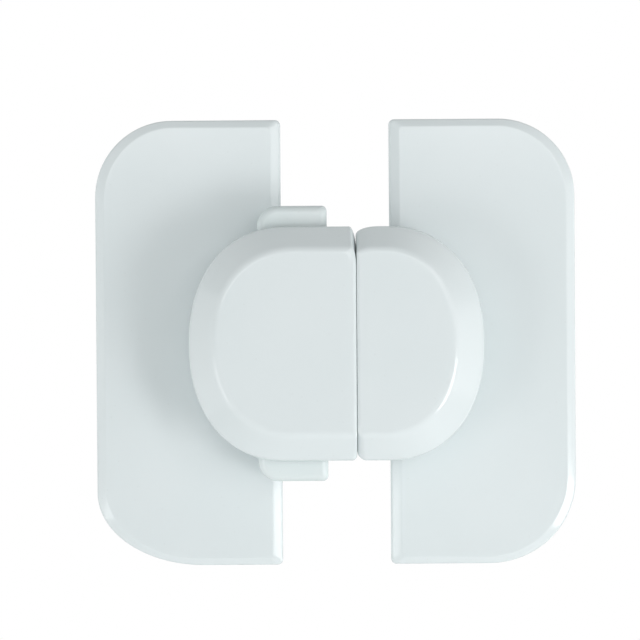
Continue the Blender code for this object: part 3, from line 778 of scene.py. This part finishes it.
def fasten_screws(name, places, node, body, pattern):
    """Copies one screw to each of its places."""
    for number, (x, z) in enumerate(places, 1):
        copy = carry(again(pattern, f"{name}_{number}"), (x * MM, 0, z * MM))
        fasten(copy, f"{node}_{number}", body, ZINC)
    bpy.data.objects.remove(pattern)


def build_strike():
    body = "strike_half"
    fasten(base_plate("strike_plate_moulding", "strike_base_plate", 1, STRIKE_BOTTOM_CORNER,
                      STRIKE_PLATE_SCREWS + TONGUE_SCREWS), "strike_base_plate", body, GLOSSY_WHITE)
    fasten(foam_pad("strike_tape", "strike_foam_pad", 1, STRIKE_BOTTOM_CORNER),
           "strike_foam_pad", body, FOAM)
    fasten(strike_cover(), "strike_cover", body, GLOSSY_WHITE)
    fasten(tongue(), "strike_tongue", body, TONGUE_WHITE)
    fasten_screws("strike_screw", STRIKE_PLATE_SCREWS, "strike_plate_screw", body,
                  screw("pattern", HEAD_FLOOR, STRIKE_SCREW_TIP, LONG_RADIUS, LONG_HEAD))
    fasten_screws("foot_screw", TONGUE_SCREWS, "tongue_screw", body,
                  screw("pattern", HEAD_FLOOR, TONGUE_SCREW_TIP, LONG_RADIUS, LONG_HEAD))


def build_lock():
    body = "lock_half"
    fasten(base_plate("lock_plate_moulding", "lock_base_plate", -1, LOCK_BOTTOM_CORNER, LOCK_PLATE_SCREWS),
           "lock_base_plate", body, GLOSSY_WHITE)
    fasten(foam_pad("lock_tape", "lock_foam_pad", -1, LOCK_BOTTOM_CORNER),
           "lock_foam_pad", body, FOAM)
    fasten(lock_cover(), "lock_cover", body, GLOSSY_WHITE)
    fasten(lock_floor(), "lock_chassis", body, INNER_WHITE)
    button = upper_slider()
    coil = upper_coil()
    mirrored_button = carry(again(button, "lower_squeeze_button"), scale=(1, 1, -1))
    mirrored_coil = carry(again(coil, "lower_coil_spring"), scale=(1, 1, -1))
    fasten(button, "upper_button", "upper_slider", BUTTON_WHITE)
    fasten(mirrored_button, "lower_button", "lower_slider", BUTTON_WHITE)
    for word, side, piece in (("upper", 1, coil), ("lower", -1, mirrored_coil)):
        fasten(piece, f"{word}_spring", body, SPRING_STEEL, 60)
        at(SPRING_X, side * SPRING_NEAR, SPRING_HEIGHT)
        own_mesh(piece)
    fasten_screws("housing_screw", LOCK_PLATE_SCREWS, "lock_plate_screw", body,
                  screw("pattern", HEAD_FLOOR, LOCK_SCREW_TIP, LONG_RADIUS, LONG_HEAD))
    fasten_screws("floor_screw", LOCK_CHASSIS_SCREWS, "lock_chassis_screw", body,
                  screw("pattern", SHORT_HEAD_FLOOR, CHASSIS_SCREW_TIP, SHORT_RADIUS, SHORT_HEAD))


# ---------------------------------------------------------------- studio

TARGET = Vector(at(-3.0, 4.3, 4.0))
# Name, direction from the latch, distance, width and height in metres, and power in watts
SOFTBOXES = (
    ("key_softbox", (1.15, -1.0, -0.52), 0.6, 0.17, 0.26, 1.04),
    ("second_softbox", (-0.95, -1.0, -0.42), 0.65, 0.13, 0.24, 0.40),
    ("right_softbox", (1.0, -0.4, -0.1), 0.6, 0.4, 0.4, 0.46),
    ("left_softbox", (-1.0, -0.33, -0.2), 0.7, 0.5, 0.9, 1.20),
    ("tall_right_softbox", (0.845, -1.0, 0.12), 0.8, 0.07, 0.5, 0.36),
    ("upper_strip_softbox", (0.0, -1.0, 0.145), 0.9, 0.9, 0.09, 0.80),
    ("overhead_softbox", (-0.3, -1.0, 0.5), 0.7, 0.8, 0.4, 0.36),
    ("upper_right_softbox", (0.62, -1.0, 0.48), 0.7, 0.10, 0.14, 0.20),
)


def camera():
    """Straight in front, a little above, and turned slightly on its axis."""
    rise, distance = math.radians(0.85), 0.535
    bpy.ops.object.camera_add(location=TARGET + distance * Vector((0, -math.cos(rise), math.sin(rise))))
    eye = bpy.context.object
    eye.name = "studio_camera"
    level = Matrix.Rotation(math.pi / 2 - rise, 3, "X")
    eye.rotation_euler = (level @ Matrix.Rotation(math.radians(-0.4), 3, "Z")).to_euler()
    eye.data.lens = 157
    eye.data.sensor_width = 36
    eye.data.clip_start = 0.01
    bpy.context.scene.camera = eye


def softbox(name, direction, distance, wide, tall, power):
    """A soft light with a flat rectangular front that looks at the latch from a direction."""
    way = Vector(direction).normalized()
    bpy.ops.object.light_add(type="AREA", location=TARGET + way * distance)
    light = bpy.context.object
    light.name = name
    light.rotation_euler = way.to_track_quat("Z", "Y").to_euler()
    light.data.shape = "RECTANGLE"
    light.data.size = wide
    light.data.size_y = tall
    light.data.energy = power


def surroundings(level, tilt, colour):
    """Dim light from all around, brighter towards one side, and plain white behind the latch."""
    world = bpy.data.worlds.new("studio")
    world.use_nodes = True
    bpy.context.scene.world = world
    nodes, links = world.node_tree.nodes, world.node_tree.links
    dim = nodes["Background"]
    dim.inputs["Color"].default_value = (*colour, 1)
    way = nodes.new("ShaderNodeTexCoord")
    lean = nodes.new("ShaderNodeVectorMath")
    lean.operation = "DOT_PRODUCT"
    lean.inputs[1].default_value = tilt
    total = nodes.new("ShaderNodeMath")
    total.inputs[1].default_value = level
    total.use_clamp = True
    links.new(way.outputs["Generated"], lean.inputs[0])
    links.new(lean.outputs["Value"], total.inputs[0])
    links.new(total.outputs[0], dim.inputs["Strength"])
    white = nodes.new("ShaderNodeBackground")
    white.inputs["Color"].default_value = (1, 1, 1, 1)
    white.inputs["Strength"].default_value = 1.0
    seen = nodes.new("ShaderNodeLightPath")
    mix = nodes.new("ShaderNodeMixShader")
    links.new(seen.outputs["Is Camera Ray"], mix.inputs[0])
    links.new(dim.outputs[0], mix.inputs[1])
    links.new(white.outputs[0], mix.inputs[2])
    links.new(mix.outputs[0], nodes["World Output"].inputs["Surface"])


def studio_floor():
    bpy.ops.object.select_all(action="DESELECT")
    bpy.ops.mesh.primitive_plane_add(size=1.6, location=(TARGET.x, 0, -0.42))
    floor = bpy.context.object
    floor.name = "studio_floor"
    bpy.ops.object.transform_apply(location=True, rotation=True, scale=True)
    bpy.ops.object.mode_set(mode="EDIT")
    bpy.ops.mesh.subdivide(number_cuts=3)
    bpy.ops.object.mode_set(mode="OBJECT")
    floor.data.materials.append(floor_paint())


build_strike()
build_lock()
studio_floor()
surroundings(0.57, (0.0, 0.33, -0.17), (0.97, 1.0, 1.0))
for light in SOFTBOXES:
    softbox(*light)
camera()
bpy.context.scene.view_settings.view_transform = "Standard"
